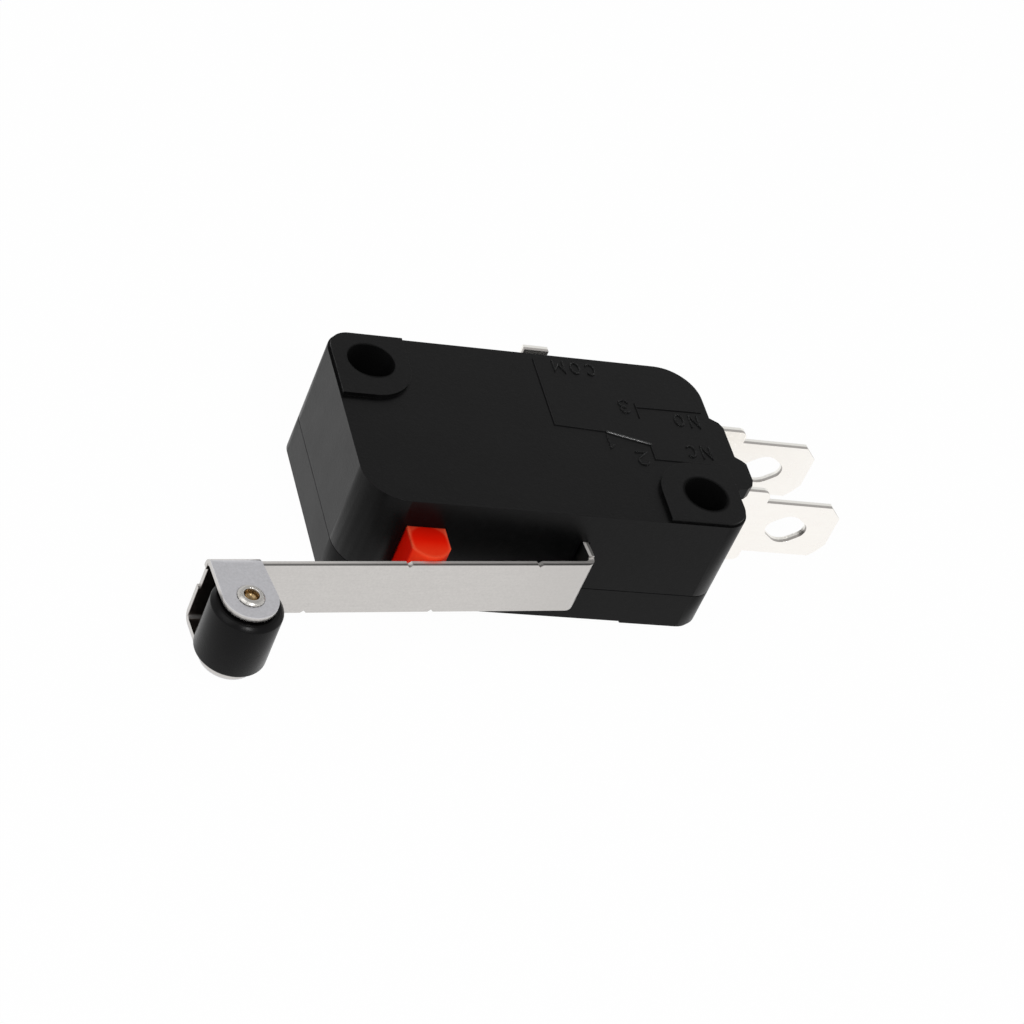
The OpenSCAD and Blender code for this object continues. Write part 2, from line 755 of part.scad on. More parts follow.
// Angle piece on the common strip that takes the push of the tongue.
module tongue_anchor() {
  foot_y = common_bar_y - tab_t - slot_fit;
  color("#c9b27a") difference() {
    across(anchor_w) folded_strip([
      [anchor_x + anchor_foot, foot_y],
      [anchor_x - tab_t / 2, foot_y],
      [anchor_x - tab_t / 2, seat_y - 0.6]
    ], tab_t, strip_bend_r);
    across(anchor_w + past) translate([anchor_x, seat_y]) rotate(45)
      square(seat_cut * sqrt(2), center = true);
  }
}

module snap_blade() {
  end_x = contact_x + contact_d / 2 + 0.1;
  window_x = anchor_x - 1.1;
  hook_x = post_x - tab_t / 2 - touch - blade_t / 2;
  chord = tongue_start - tongue_tip;
  middle = (tongue_start + tongue_tip) / 2;
  centre = middle - turned(chord) / norm(chord) * sqrt(tongue_r * tongue_r - chord * chord / 4);
  color("#c98a4b") difference() {
    union() {
      intersection() {
        across(blade_w) folded_strip([
          [hook_x, blade_y + blade_t / 2 + hook_h],
          [hook_x, blade_y + blade_t / 2],
          [end_x, blade_y + blade_t / 2]
        ], blade_t, blade_t);
        sheet_at(blade_y - past, hook_h + 2 * past)
          rounded_rect([hook_x - past, -blade_w / 2], [end_x, blade_w / 2], [0, 1, 1, 0]);
      }
    }
    across(tongue_w + 2 * tongue_gap) translate([window_x, blade_y - past])
      square([tongue_start[0] - window_x, blade_t + 2 * past]);
    shank_hole(blade_y, blade_t);
  }
  color("#c98a4b") across(tongue_w) translate(centre) intersection() {
    difference() {
      circle(r = tongue_r + blade_t / 2, $fn = 128);
      circle(r = tongue_r - blade_t / 2, $fn = 128);
    }
    polygon([
      [0, 0],
      (tongue_start + [0.15, 0] - centre) * 1.3,
      (middle - centre) * 3,
      (tongue_tip - centre) * 1.3
    ]);
  }
}

at_origin() case();
at_origin() cover();
at_origin() plunger();
at_origin() lever();
at_origin() roller_axle();
at_origin() roller();
at_origin() common_terminal();
at_origin() tongue_anchor();
at_origin() snap_blade();
at_origin() moving_contact();
at_origin() normally_closed_terminal();
at_origin() normally_closed_contact();
at_origin() normally_open_terminal();
at_origin() normally_open_contact();
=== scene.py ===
import json
from math import cos, pi, radians, sin

import bmesh
import bpy
from bpy.props import FloatProperty, FloatVectorProperty, PointerProperty
from mathutils import Matrix, Vector


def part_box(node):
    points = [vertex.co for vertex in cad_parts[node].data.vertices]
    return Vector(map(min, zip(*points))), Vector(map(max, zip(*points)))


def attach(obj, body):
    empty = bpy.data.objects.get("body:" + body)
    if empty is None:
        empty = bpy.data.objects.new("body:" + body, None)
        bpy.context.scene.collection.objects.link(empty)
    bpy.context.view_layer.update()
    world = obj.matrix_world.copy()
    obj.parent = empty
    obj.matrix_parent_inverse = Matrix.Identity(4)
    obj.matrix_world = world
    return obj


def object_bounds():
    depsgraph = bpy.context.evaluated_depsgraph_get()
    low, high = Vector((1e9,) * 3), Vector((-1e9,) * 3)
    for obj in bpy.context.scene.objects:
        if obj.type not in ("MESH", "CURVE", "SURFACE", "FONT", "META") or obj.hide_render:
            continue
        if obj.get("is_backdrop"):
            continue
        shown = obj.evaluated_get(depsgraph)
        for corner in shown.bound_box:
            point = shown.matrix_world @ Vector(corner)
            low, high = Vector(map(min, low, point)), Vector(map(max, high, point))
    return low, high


bl_info = {
    "name": "Roller Lever Switch",
    "version": (1, 0, 0),
    "blender": (4, 5, 0),
    "location": "3D View > Sidebar > Switch",
    "description": "Finishes and stages a miniature basic switch with a hinged roller lever",
    "category": "Object",
}

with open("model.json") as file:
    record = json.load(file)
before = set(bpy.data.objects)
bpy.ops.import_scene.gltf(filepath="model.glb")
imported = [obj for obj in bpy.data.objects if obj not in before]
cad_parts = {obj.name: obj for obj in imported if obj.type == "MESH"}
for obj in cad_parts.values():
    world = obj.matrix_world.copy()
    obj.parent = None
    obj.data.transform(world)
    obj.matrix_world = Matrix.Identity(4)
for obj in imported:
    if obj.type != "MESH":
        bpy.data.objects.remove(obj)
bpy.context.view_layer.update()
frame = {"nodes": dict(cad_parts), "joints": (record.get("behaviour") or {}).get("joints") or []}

MM = 0.001
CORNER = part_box("cover")[0]  # housing corner: plunger face, plain end, back pads
HINGE = Vector(next(j["pos_m"] for j in frame["joints"] if j["name"] == "lever_hinge"))
ROLLER_AXIS = Vector(next(j["pos_m"] for j in frame["joints"] if j["name"] == "roller_spin"))
HOLES = (Vector((0, 0, 0)), Vector((-22.2 * MM, 10.3 * MM, 0)))
PLUNGER_HEAD = CORNER + Vector((4.75, -1.16, 5.15)) * MM
PAD_RISE = 0.3 * MM
SHARP_ANGLE = radians(32.0)

# Limits of soft masks across the lever, in millimetres from its middle
STRIP_SIDE = (2.38, 2.44)
FORK_INSIDE = (2.48, 2.54)
EAR_OUTSIDE = (2.76, 2.83)

# Limits of the painted bore shade round each mounting hole, in millimetres from its axis
BORE_WALL = (1.58, 1.85)

# Near faces of the terminals' strips, in millimetres from the plunger face
TERMINAL_FACES = {"normally_closed": 5.43, "normally_open": 11.46, "common": 19.2}


class HousingSettings(bpy.types.PropertyGroup):
    colour: FloatVectorProperty(
        name="Colour",
        description="Colour of the moulded case and cover",
        subtype="COLOR",
        min=0,
        max=1,
        default=(0.0024, 0.0024, 0.0025),
    )
    roughness: FloatProperty(
        name="Roughness",
        description="Roughness of the moulded faces",
        subtype="FACTOR",
        min=0,
        max=1,
        default=0.32,
    )
    grain: FloatProperty(
        name="Grain",
        description="Size of the grain left by the mould",
        unit="LENGTH",
        min=0.00005,
        default=0.00014,
    )
    edge: FloatProperty(
        name="Edge radius",
        description="Rounding of the housing's outer edges",
        unit="LENGTH",
        min=0,
        max=0.0002,
        default=0.00009,
    )


class MarkingSettings(bpy.types.PropertyGroup):
    line: FloatProperty(
        name="Line width",
        description="Width of the raised lines of the circuit diagram",
        unit="LENGTH",
        default=0.00015,
    )
    relief: FloatProperty(
        name="Relief",
        description="Height of the lines above the marked face",
        unit="LENGTH",
        default=0.00006,
    )
    letter: FloatProperty(
        name="Letter height",
        description="Height of the terminal letters",
        unit="LENGTH",
        default=0.00108,
    )
    digit: FloatProperty(
        name="Digit height",
        description="Height of the terminal numbers",
        unit="LENGTH",
        default=0.00122,
    )


class PlungerSettings(bpy.types.PropertyGroup):
    colour: FloatVectorProperty(
        name="Colour",
        description="Colour of the plunger",
        subtype="COLOR",
        min=0,
        max=1,
        default=(0.90, 0.010, 0.0016),
    )
    roughness: FloatProperty(
        name="Roughness",
        description="Roughness of the plunger",
        subtype="FACTOR",
        min=0,
        max=1,
        default=0.38,
    )


class LeverSettings(bpy.types.PropertyGroup):
    colour: FloatVectorProperty(
        name="Steel colour",
        description="Colour of the lever's stainless strip",
        subtype="COLOR",
        min=0,
        max=1,
        default=(0.60, 0.58, 0.56),
    )
    roughness: FloatProperty(
        name="Roughness",
        description="Roughness of the rolled face",
        subtype="FACTOR",
        min=0,
        max=1,
        default=0.30,
    )
    angle: FloatProperty(
        name="Free angle",
        description="Angle of the free lever to the plunger face",
        unit="ROTATION",
        default=radians(5.57),
    )
    thickness: FloatProperty(
        name="Thickness",
        description="Thickness of the strip",
        unit="LENGTH",
        default=0.0004,
    )
    stand: FloatProperty(
        name="Stand-off",
        description="Distance from the hinge to the strip's outer face",
        unit="LENGTH",
        default=0.00251,
    )


class RollerSettings(bpy.types.PropertyGroup):
    colour: FloatVectorProperty(
        name="Roller colour",
        description="Colour of the moulded roller",
        subtype="COLOR",
        min=0,
        max=1,
        default=(0.0022, 0.0021, 0.0023),
    )
    roughness: FloatProperty(
        name="Roller roughness",
        description="Roughness of the roller's rim",
        subtype="FACTOR",
        min=0,
        max=1,
        default=0.28,
    )
    axle_colour: FloatVectorProperty(
        name="Axle colour",
        description="Colour of the axle's bright heads",
        subtype="COLOR",
        min=0,
        max=1,
        default=(0.62, 0.60, 0.57),
    )
    hollow_colour: FloatVectorProperty(
        name="Hollow colour",
        description="Colour of the metal inside the axle's hollow ends",
        subtype="COLOR",
        min=0,
        max=1,
        default=(0.30, 0.21, 0.11),
    )


class TerminalSettings(bpy.types.PropertyGroup):
    colour: FloatVectorProperty(
        name="Plating colour",
        description="Colour of the plated terminals",
        subtype="COLOR",
        min=0,
        max=1,
        default=(0.975, 0.928, 0.885),
    )
    roughness: FloatProperty(
        name="Roughness",
        description="Roughness of the plated faces",
        subtype="FACTOR",
        min=0,
        max=1,
        default=0.27,
    )


class MechanismSettings(bpy.types.PropertyGroup):
    spring_colour: FloatVectorProperty(
        name="Spring colour",
        description="Colour of the snap blade",
        subtype="COLOR",
        min=0,
        max=1,
        default=(0.72, 0.40, 0.21),
    )
    contact_colour: FloatVectorProperty(
        name="Contact colour",
        description="Colour of the contact rivets",
        subtype="COLOR",
        min=0,
        max=1,
        default=(0.88, 0.87, 0.84),
    )
    anchor_colour: FloatVectorProperty(
        name="Anchor colour",
        description="Colour of the tongue anchor",
        subtype="COLOR",
        min=0,
        max=1,
        default=(0.72, 0.55, 0.27),
    )


class StageSettings(bpy.types.PropertyGroup):
    floor_colour: FloatVectorProperty(
        name="Floor colour",
        description="Colour of the floor",
        subtype="COLOR",
        min=0,
        max=1,
        default=(0.96, 0.96, 0.96),
    )
    key_power: FloatProperty(
        name="Key lamp",
        description="Power of the lamp above the lever side",
        unit="POWER",
        default=0.62,
    )
    fill_power: FloatProperty(
        name="Fill lamp",
        description="Power of the broad lamp over the plain end",
        unit="POWER",
        default=0.72,
    )
    azimuth: FloatProperty(
        name="Azimuth",
        description="Turn of the camera from the lever side towards the plain end",
        unit="ROTATION",
        default=radians(30.502),
    )
    elevation: FloatProperty(
        name="Elevation",
        description="Height of the camera above the floor, as an angle",
        unit="ROTATION",
        default=radians(39.326),
    )
    roll: FloatProperty(
        name="Roll",
        description="Turn of the camera about its own line of sight",
        unit="ROTATION",
        default=radians(-25.222),
    )
    distance: FloatProperty(
        name="Distance",
        description="Distance from the camera to the point it looks at",
        unit="LENGTH",
        default=0.213097,
    )
    lens: FloatProperty(
        name="Lens",
        description="Focal length of the camera",
        unit="CAMERA",
        default=110.2,
    )


class Signal:
    """A shader socket that takes part in arithmetic: each operator adds one Math node."""

    def __init__(self, finish, socket):
        self.finish = finish
        self.socket = socket

    def out(self, name):
        """Another output of this signal's node."""
        return Signal(self.finish, self.socket.node.outputs[name])

    def _math(self, operation, first, second):
        return self.finish.node("ShaderNodeMath", {"operation": operation}, {0: first, 1: second})

    def __add__(self, other):
        return self._math("ADD", self, other)

    def __radd__(self, other):
        return self._math("ADD", other, self)

    def __sub__(self, other):
        return self._math("SUBTRACT", self, other)

    def __rsub__(self, other):
        return self._math("SUBTRACT", other, self)

    def __mul__(self, other):
        return self._math("MULTIPLY", self, other)

    def __rmul__(self, other):
        return self._math("MULTIPLY", other, self)

    def __truediv__(self, other):
        return self._math("DIVIDE", self, other)

    def __pow__(self, other):
        return self._math("POWER", self, other)

    def __gt__(self, other):
        return self._math("GREATER_THAN", self, other)

    def __abs__(self):
        return self._math("ABSOLUTE", self, 0.0)


class Finish:
    """One material or world, built from nodes."""

    def __init__(self, owner, output):
        owner.use_nodes = True
        self.owner = owner
        self.tree = owner.node_tree
        self.tree.nodes.clear()
        self.output = self.tree.nodes.new(output)

    def node(self, kind, settings=None, inputs=None):
        """Adds a node: its settings first, then the values or links of its sockets."""
        made = self.tree.nodes.new(kind)
        for name, value in (settings or {}).items():
            if name == "stops":
                self._set_stops(made.color_ramp.elements, value)
            else:
                setattr(made, name, value)
        for name, value in (inputs or {}).items():
            if isinstance(value, Signal):
                self.tree.links.new(value.socket, made.inputs[name])
            else:
                made.inputs[name].default_value = value
        return Signal(self, next(o for o in made.outputs if o.enabled))

    def _set_stops(self, elements, stops):
        while len(elements) < len(stops):
            elements.new(1.0)
        for element, (place, level) in zip(elements, stops):
            element.position = place
            element.color = (level, level, level, 1.0)

    def ramp(self, value, stops):
        """Grey levels set out along a value."""
        return self.node("ShaderNodeValToRGB", {"stops": stops}, {"Fac": value})

    def step(self, value, low, high):
        """0 below low, 1 above high, smooth between."""
        return self.node(
            "ShaderNodeMapRange",
            {"interpolation_type": "SMOOTHSTEP", "clamp": True},
            {"Value": value, "From Min": low, "From Max": high},
        )

    def mix(self, mask, first, second):
        """Colour first where mask is 0, second where it is 1."""
        pair = [c if isinstance(c, Signal) else (*c, 1.0) for c in (first, second)]
        return self.node(
            "ShaderNodeMix", {"data_type": "RGBA"}, {0: mask, 6: pair[0], 7: pair[1]}
        )

    def shades(self, mask, colour, first, second):
        """A colour times first where mask is 0, times second where it is 1."""
        return self.mix(mask, scaled(colour, first), scaled(colour, second))

    def place(self, origin=(0, 0, 0), turn=0.0):
        """Coordinates in millimetres from origin, turned about Z."""
        coordinates = self.node("ShaderNodeTexCoord").out("Object")
        moved = self.node(
            "ShaderNodeVectorMath", {"operation": "SUBTRACT"}, {0: coordinates, 1: tuple(origin)}
        )
        in_mm = self.node(
            "ShaderNodeVectorMath", {"operation": "SCALE"}, {0: moved, "Scale": 1 / MM}
        )
        if not turn:
            return in_mm
        return self.node(
            "ShaderNodeVectorRotate", {"rotation_type": "Z_AXIS"}, {"Vector": in_mm, "Angle": turn}
        )

    def parts(self, vector):
        """A vector's X, Y and Z."""
        split = self.node("ShaderNodeSeparateXYZ", {}, {"Vector": vector})
        return split.out("X"), split.out("Y"), split.out("Z")

    def reach(self, vector):
        """Distance from the Z axis of a vector's own frame."""
        across, out, _ = self.parts(vector)
        return (across * across + out * out) ** 0.5

    def noise(self, vector, scale, detail=2.0, roughness=0.5, stretch=(1, 1, 1)):
        """Noise from 0 to 1, with scale in cells to the millimetre."""
        stretched = self.node(
            "ShaderNodeVectorMath", {"operation": "MULTIPLY"}, {0: vector, 1: tuple(stretch)}
        )
        return self.node(
            "ShaderNodeTexNoise",
            {"noise_dimensions": "3D"},
            {"Vector": stretched, "Scale": scale, "Detail": detail, "Roughness": roughness},
        )

    def bump(self, height, depth, strength=1.0):
        """Surface relief: height from 0 to 1 stands for depth in millimetres."""
        return self.node(
            "ShaderNodeBump", {}, {"Height": height, "Distance": depth * MM, "Strength": strength}
        )

    def surface(self, **inputs):
        """Ends the material in one shader, with its sockets named in the call."""
        named = {name.replace("_", " "): value for name, value in inputs.items()}
        shader = self.node("ShaderNodeBsdfPrincipled", {}, named)
        self.tree.links.new(shader.socket, self.output.inputs["Surface"])
        return self.owner


def new_finish(name):
    """A new material to build on."""
    return Finish(bpy.data.materials.new(name), "ShaderNodeOutputMaterial")


def scaled(colour, factor):
    """A colour times a factor, kept within 1."""
    return tuple(min(1.0, c * factor) for c in colour)


def moulded(name, settings, roughness):
    """Moulded thermoplastic: fine mould grain, faint flow clouds, dull bores with painted shade.
    """
    finish = new_finish(name)
    where = finish.place(CORNER)
    bore_shade = sum(1 - finish.step(finish.reach(finish.place(h)), *BORE_WALL) for h in HOLES)
    cloud = finish.noise(where, 0.32, 3.0, 0.55)
    grain = finish.noise(where, MM / settings.grain, 3.0, 0.6)
    mottle = finish.noise(where, 2.4, 4.0, 0.7)
    tone = finish.shades(cloud, settings.colour, 0.7, 1.3)
    tone = finish.mix(finish.step(mottle, 0.45, 0.75) * 0.5, tone, scaled(settings.colour, 2.2))
    # Painted shade: the walls of the mounting holes are painted black where shade falls inside
    # them.
    tone = finish.mix(bore_shade, tone, (0, 0, 0))
    return finish.surface(
        Base_Color=tone,
        Roughness=cloud * 0.12 + mottle * 0.1 + grain * 0.08 + bore_shade * 0.6 + (roughness - 0.15),
        Specular_IOR_Level=0.105,
        Normal=finish.bump(grain * 0.6 + mottle * 0.4, 0.022, 0.6),
    )


def dress(name, material, edge=0.0):
    """Gives a CAD node its finish and rounds its sharp edges."""
    node = frame["nodes"][name]
    node.material_slots[0].material = material
    weld = node.modifiers.new("Closed seams", "WELD")
    weld.merge_threshold = 1e-7
    if edge:
        bevel = node.modifiers.new("Rounded edges", "BEVEL")
        bevel.width = edge
        bevel.segments = 3
        bevel.limit_method = "ANGLE"
        bevel.angle_limit = SHARP_ANGLE
        bevel.harden_normals = True
        bevel.use_clamp_overlap = True
    return node


class SWITCH_OT_housing(bpy.types.Operator):
    """Finish the moulded case and cover"""

    bl_idname = "switch.housing"
    bl_label = "Housing"

    def execute(self, context):
        settings = context.scene.switch_housing
        case = moulded("case_black_moulding", settings, settings.roughness)
        cover = moulded("cover_black_moulding", settings, settings.roughness)
        dress("case", case, settings.edge)
        dress("cover", cover, settings.edge)
        return {"FINISHED"}


class SWITCH_OT_plunger(bpy.types.Operator):
    """Finish the red plunger"""

    bl_idname = "switch.plunger"
    bl_label = "Plunger"

    def execute(self, context):
        settings = context.scene.switch_plunger
        finish = new_finish("plunger_red_moulding")
        where = finish.place(PLUNGER_HEAD)
        across, out, up = finish.parts(where)
        cloud = finish.noise(where, 0.9, 3.0, 0.6)
        grain = finish.noise(where, 5.0, 3.0, 0.6)
        tone = finish.shades(cloud, settings.colour, 0.92, 1.08)
        # Painted shade: the plunger is painted darker towards the housing, where it lies in shade.
        tone = finish.mix(finish.step(out, -0.4, 1.3) * 0.6, tone, scaled(settings.colour, 0.55))
        # Painted highlight: the crown at the plunger's tip is painted lighter and pinker.
        crown_highlight = finish.step(out, 0.2, -1.2)
        tone = finish.mix(crown_highlight * (cloud * 0.5 + 0.25), tone, (0.95, 0.075, 0.022))
        # Painted shade: the plunger's side faces are painted darker than its top.
        side = finish.step(abs(across), 1.35, 1.25)
        tone = finish.mix(side, scaled(settings.colour, 0.74), tone)
        # Painted highlight: a glint is painted along the plunger's rounded edges.
        rim = finish.step(abs(across), 1.1, 1.33) + finish.step(finish.reach(where), 1.2, 1.48)
        rim = rim * finish.step(abs(up), 2.3, 2.52)
        tone = finish.mix(rim * (grain * 0.3 + 0.08), tone, (1.0, 0.20, 0.09))
        red = finish.surface(
            Base_Color=tone,
            Roughness=cloud * 0.08 + grain * 0.08 + (settings.roughness - 0.08),
            Specular_IOR_Level=0.02,
            Normal=finish.bump(grain, 0.003, 0.35),
        )
        dress("plunger", red, 0.14 * MM)
        return {"FINISHED"}


class SWITCH_OT_lever(bpy.types.Operator):
    """Finish the folded steel lever"""

    bl_idname = "switch.lever"
    bl_label = "Lever"

    def execute(self, context):
        settings = context.scene.switch_lever
        finish = new_finish("lever_stainless_strip")
        where = finish.place(HINGE, -settings.angle)
        along, out, up = finish.parts(where)
        rolled = finish.noise(where, 9.0, 4.0, 0.7, (0.09, 1, 1))
        mottle = finish.noise(where, 5.5, 4.0, 0.75)
        cloud = finish.noise(where, 0.5, 2.0, 0.5)
        normal = finish.node("ShaderNodeNewGeometry").out("True Normal")
        facing_up = finish.step(abs(finish.parts(normal)[2]), 0.6, 0.8)
        beyond_strip = finish.step(abs(up), *STRIP_SIDE)
        sheared = facing_up * (1 - beyond_strip)
        from_strip = (out + settings.stand / MM) / (settings.thickness / MM)
        from_leg = 0.5 - along / (settings.thickness / MM)
        on_leg = finish.step(out, -2.12, -1.7)
        depth = from_strip * (1 - on_leg) + from_leg * on_leg
        burnished = finish.step(depth, 0.42, 0.55)
        crack = finish.step(depth, 0.02, 0.12) * (1 - finish.step(depth, 0.28, 0.4))
        torn = finish.noise(where, 7.0, 3.0, 0.7, (1, 2.0, 0.5))
        face = finish.shades(rolled * 0.3 + mottle * 0.7, settings.colour, 0.70, 1.26)
        face = finish.mix(cloud * 0.35, face, scaled(settings.colour, 0.92))
        face = finish.mix(finish.step(along, -9.0, 0.5) * 0.5, face, scaled(settings.colour, 0.84))
        # Painted shade: the leg's face towards the plain end is painted nearly black, as painted
        # shade and a painted reflection of the dark housing.
        leg_side_shade = on_leg * finish.step(along, 0.1, -0.15)
        face = finish.mix(leg_side_shade * 0.8, face, scaled(settings.colour, 0.15))
        ears = finish.step(abs(up), *EAR_OUTSIDE)
        ear = finish.mix(mottle, (0.50, 0.50, 0.525), (0.80, 0.80, 0.845))
        face = finish.mix(ears * 0.8, face, ear)
        # Painted shade: the inner faces of the fork and the inside of the web beside the roller
        # are painted dark brown where shade falls.
        within = (1 - finish.step(abs(up), *FORK_INSIDE)) * beyond_strip * facing_up
        web_inner_shade = finish.step(along, -24.0, -24.4) * finish.step(from_strip, -0.15, -0.02) * (1 - ears)
        web_inner_shade = web_inner_shade * (1 - finish.step(from_strip, 0.1, 0.2)) * (1 - beyond_strip)
        face = finish.mix((within + web_inner_shade) * (0.7 + cloud * 0.3), face, (0.085, 0.062, 0.048))
        edge = finish.shades(torn, settings.colour, 0.32, 0.55)
        edge = finish.mix(burnished, edge, scaled(settings.colour, 1.15))
        edge = finish.mix(crack * 0.6, edge, scaled(settings.colour, 0.22))
        # Painted highlight: the leg's burnished edge is painted lighter, and Metallic below is
        # lowered on it, so that it reads bright.
        edge = finish.mix(on_leg * burnished * 0.8, edge, scaled(settings.colour, 1.2))
        steel = finish.surface(
            Base_Color=finish.mix(sheared, face, edge),
            Metallic=1 - sheared * on_leg * 0.7,
            Roughness=rolled * 0.08 + mottle * 0.16 + sheared * 0.15 + (settings.roughness - 0.10),
            Normal=finish.bump(rolled * 0.4 + mottle * 0.6 + sheared * torn * 2.0, 0.006, 0.5),
        )
        dress("lever", steel, 0.035 * MM)
        return {"FINISHED"}


class SWITCH_OT_roller(bpy.types.Operator):
    """Finish the roller and its riveted axle"""

    bl_idname = "switch.roller"
    bl_label = "Roller and axle"

    def execute(self, context):
        settings = context.scene.switch_roller
        finish = new_finish("roller_black_moulding")
        where = finish.place(ROLLER_AXIS)
        rings = finish.noise(where, 7.0, 3.0, 0.6, (0.04, 0.04, 1))
        cloud = finish.noise(where, 0.9, 3.0, 0.6)
        grain = finish.noise(where, 8.0, 2.0, 0.6)
        radius = finish.reach(where)
        patches = finish.step(finish.noise(where, 3.0, 3.0, 0.7), 0.5, 0.8)
        worn = finish.step(radius, 2.15, 2.32) * patches
        tone = finish.shades(cloud, settings.colour, 0.8, 1.3)
        tone = finish.mix(worn * 0.3, tone, scaled(settings.colour, 2.6))
        black = finish.surface(
            Base_Color=tone,
            Roughness=rings * 0.10 + grain * 0.08 + (settings.roughness - 0.08),
            Specular_IOR_Level=0.12,
            Normal=finish.bump(rings * 0.6 + grain * 0.4, 0.008, 0.5),
        )
        dress("roller", black, 0.06 * MM)

        finish = new_finish("axle_bright_steel")
        where = finish.place(ROLLER_AXIS)
        hollow = 1 - finish.step(finish.reach(where), 0.46, 0.52)
        turned = finish.noise(where, 9.0, 3.0, 0.7)
        tone = finish.shades(turned, settings.axle_colour, 0.55, 1.15)
        inside = finish.shades(turned, settings.hollow_colour, 0.5, 1.4)
        bright = finish.surface(
            Base_Color=finish.mix(hollow, tone, inside),
            Metallic=1.0,
            Roughness=turned * 0.25 + 0.17,
            Normal=finish.bump(turned, 0.02, 0.6),
        )
        dress("roller_axle", bright, 0.05 * MM)
        return {"FINISHED"}


def plated(name, settings, near):
    """Plated brass strip: bright faces; cut edges torn and darker beside the near face, with
    painted shade there and a painted highlight on the rest of the edge.
    """
    finish = new_finish(name)
    where = finish.place(CORNER)
    cloud = finish.noise(where, 0.7, 3.0, 0.6)
    brushed = finish.noise(where, 8.0, 3.0, 0.65, (0.12, 1, 1))
    speck = finish.step(finish.noise(where, 3.2, 4.0, 0.75), 0.60, 0.76)
    normal = finish.node("ShaderNodeNewGeometry").out("True Normal")
    edge = 1 - finish.step(abs(finish.parts(normal)[1]), 0.5, 0.7)
    torn = finish.noise(where, 6.0, 3.0, 0.7)
    face = finish.shades(brushed * 0.5 + cloud * 0.5, settings.colour, 0.95, 1.06)
    face = finish.mix(speck * 0.25, face, scaled(settings.colour, 0.85))
    # Cut edges are bare and darker; beside the near face that dark is also painted shade.
    side = finish.shades(torn, settings.colour, 0.40, 0.62)
    # Painted highlight: the cut edge away from the near face is painted brighter than the plated
    # faces.
    depth = finish.parts(where)[1] - near
    side = finish.mix(finish.step(depth, 0.20, 0.30), side, scaled(settings.colour, 1.06))
    return finish.surface(
        Base_Color=finish.mix(edge, face, side),
        Metallic=1.0,
        Roughness=brushed * 0.12 + cloud * 0.10 + edge * 0.12 + (settings.roughness - 0.08),
        Normal=finish.bump(brushed * 0.5 + torn * edge, 0.006, 0.45),
    )


class SWITCH_OT_terminals(bpy.types.Operator):
    """Finish the three plated terminals"""

    bl_idname = "switch.terminals"
    bl_label = "Terminals"

    def execute(self, context):
        settings = context.scene.switch_terminals
        for name, near in TERMINAL_FACES.items():
            plate = plated(name + "_plating", settings, near)
            dress(name + "_terminal", plate, 0.04 * MM)
        return {"FINISHED"}


def worked_metal(name, colour, roughness, stretch):
    """Plain worked metal for the parts inside the housing."""
    finish = new_finish(name)
    where = finish.place(CORNER)
    rolled = finish.noise(where, 7.0, 3.0, 0.65, stretch)
    cloud = finish.noise(where, 0.8, 3.0, 0.6)
    tone = finish.shades(rolled * 0.5 + cloud * 0.5, colour, 0.78, 1.15)
    return finish.surface(
        Base_Color=tone,
        Metallic=1.0,
        Roughness=rolled * 0.14 + cloud * 0.08 + (roughness - 0.1),
        Normal=finish.bump(rolled, 0.006, 0.5),
    )


class SWITCH_OT_mechanism(bpy.types.Operator):
    """Finish the snap blade, its anchor and the contacts"""

    bl_idname = "switch.mechanism"
    bl_label = "Snap mechanism"

    def execute(self, context):
        settings = context.scene.switch_mechanism
        spring = worked_metal("spring_copper_alloy", settings.spring_colour, 0.3, (0.1, 1, 1))
        silver = worked_metal("contact_silver_alloy", settings.contact_colour, 0.28, (1, 1, 1))
        brass = worked_metal("anchor_rolled_brass", settings.anchor_colour, 0.32, (0.1, 1, 1))
        dress("snap_blade", spring)
        dress("tongue_anchor", brass, 0.03 * MM)
        for name in ("moving_contact", "normally_closed_contact", "normally_open_contact"):
            dress(name, silver, 0.04 * MM)
        return {"FINISHED"}


def arc(centre, reach, start, end, steps=14):
    """Points of an elliptical stroke, angles in degrees."""
    return [
        (
            centre[0] + reach[0] * cos(radians(start + (end - start) * i / steps)),
            centre[1] + reach[1] * sin(radians(start + (end - start) * i / steps)),
        )
        for i in range(steps + 1)
    ]


# Strokes of the letters and numbers, in a cell one unit high: width, then strokes
GLYPHS = {
    "C": (0.56, [arc((0.30, 0.5), (0.30, 0.5), 50, 310)]),
    "O": (0.60, [arc((0.30, 0.5), (0.30, 0.5), 0, 360, 24)]),
    "M": (0.72, [[(0, 0), (0, 1), (0.36, 0.3), (0.72, 1), (0.72, 0)]]),
    "N": (0.58, [[(0, 0), (0, 1), (0.58, 0), (0.58, 1)]]),
    "1": (0.30, [[(0, 0.78), (0.24, 1), (0.24, 0)]]),
    "2": (0.62, [arc((0.31, 0.69), (0.30, 0.31), 165, -40) + [(0.0, 0.0), (0.62, 0.0)]]),
    "3": (
        0.56,
        [arc((0.27, 0.75), (0.27, 0.25), 150, -90) + arc((0.26, 0.27), (0.30, 0.27), 90, -150)],
    ),
}


def lettering(word, centre, height, gap=0.5):
    """Strokes of a word that reads along -X, centred on a point of the housing."""
    unit = height / MM
    width = sum(GLYPHS[c][0] for c in word) + gap * (len(word) - 1)
    strokes, pen = [], -width / 2
    for c in word:
        for stroke in GLYPHS[c][1]:
            strokes.append(
                [
                    Vector((centre[0] - (pen + x) * unit, centre[1] - (y - 0.5) * unit))
                    for x, y in stroke
                ]
            )
        pen += GLYPHS[c][0] + gap
    return strokes


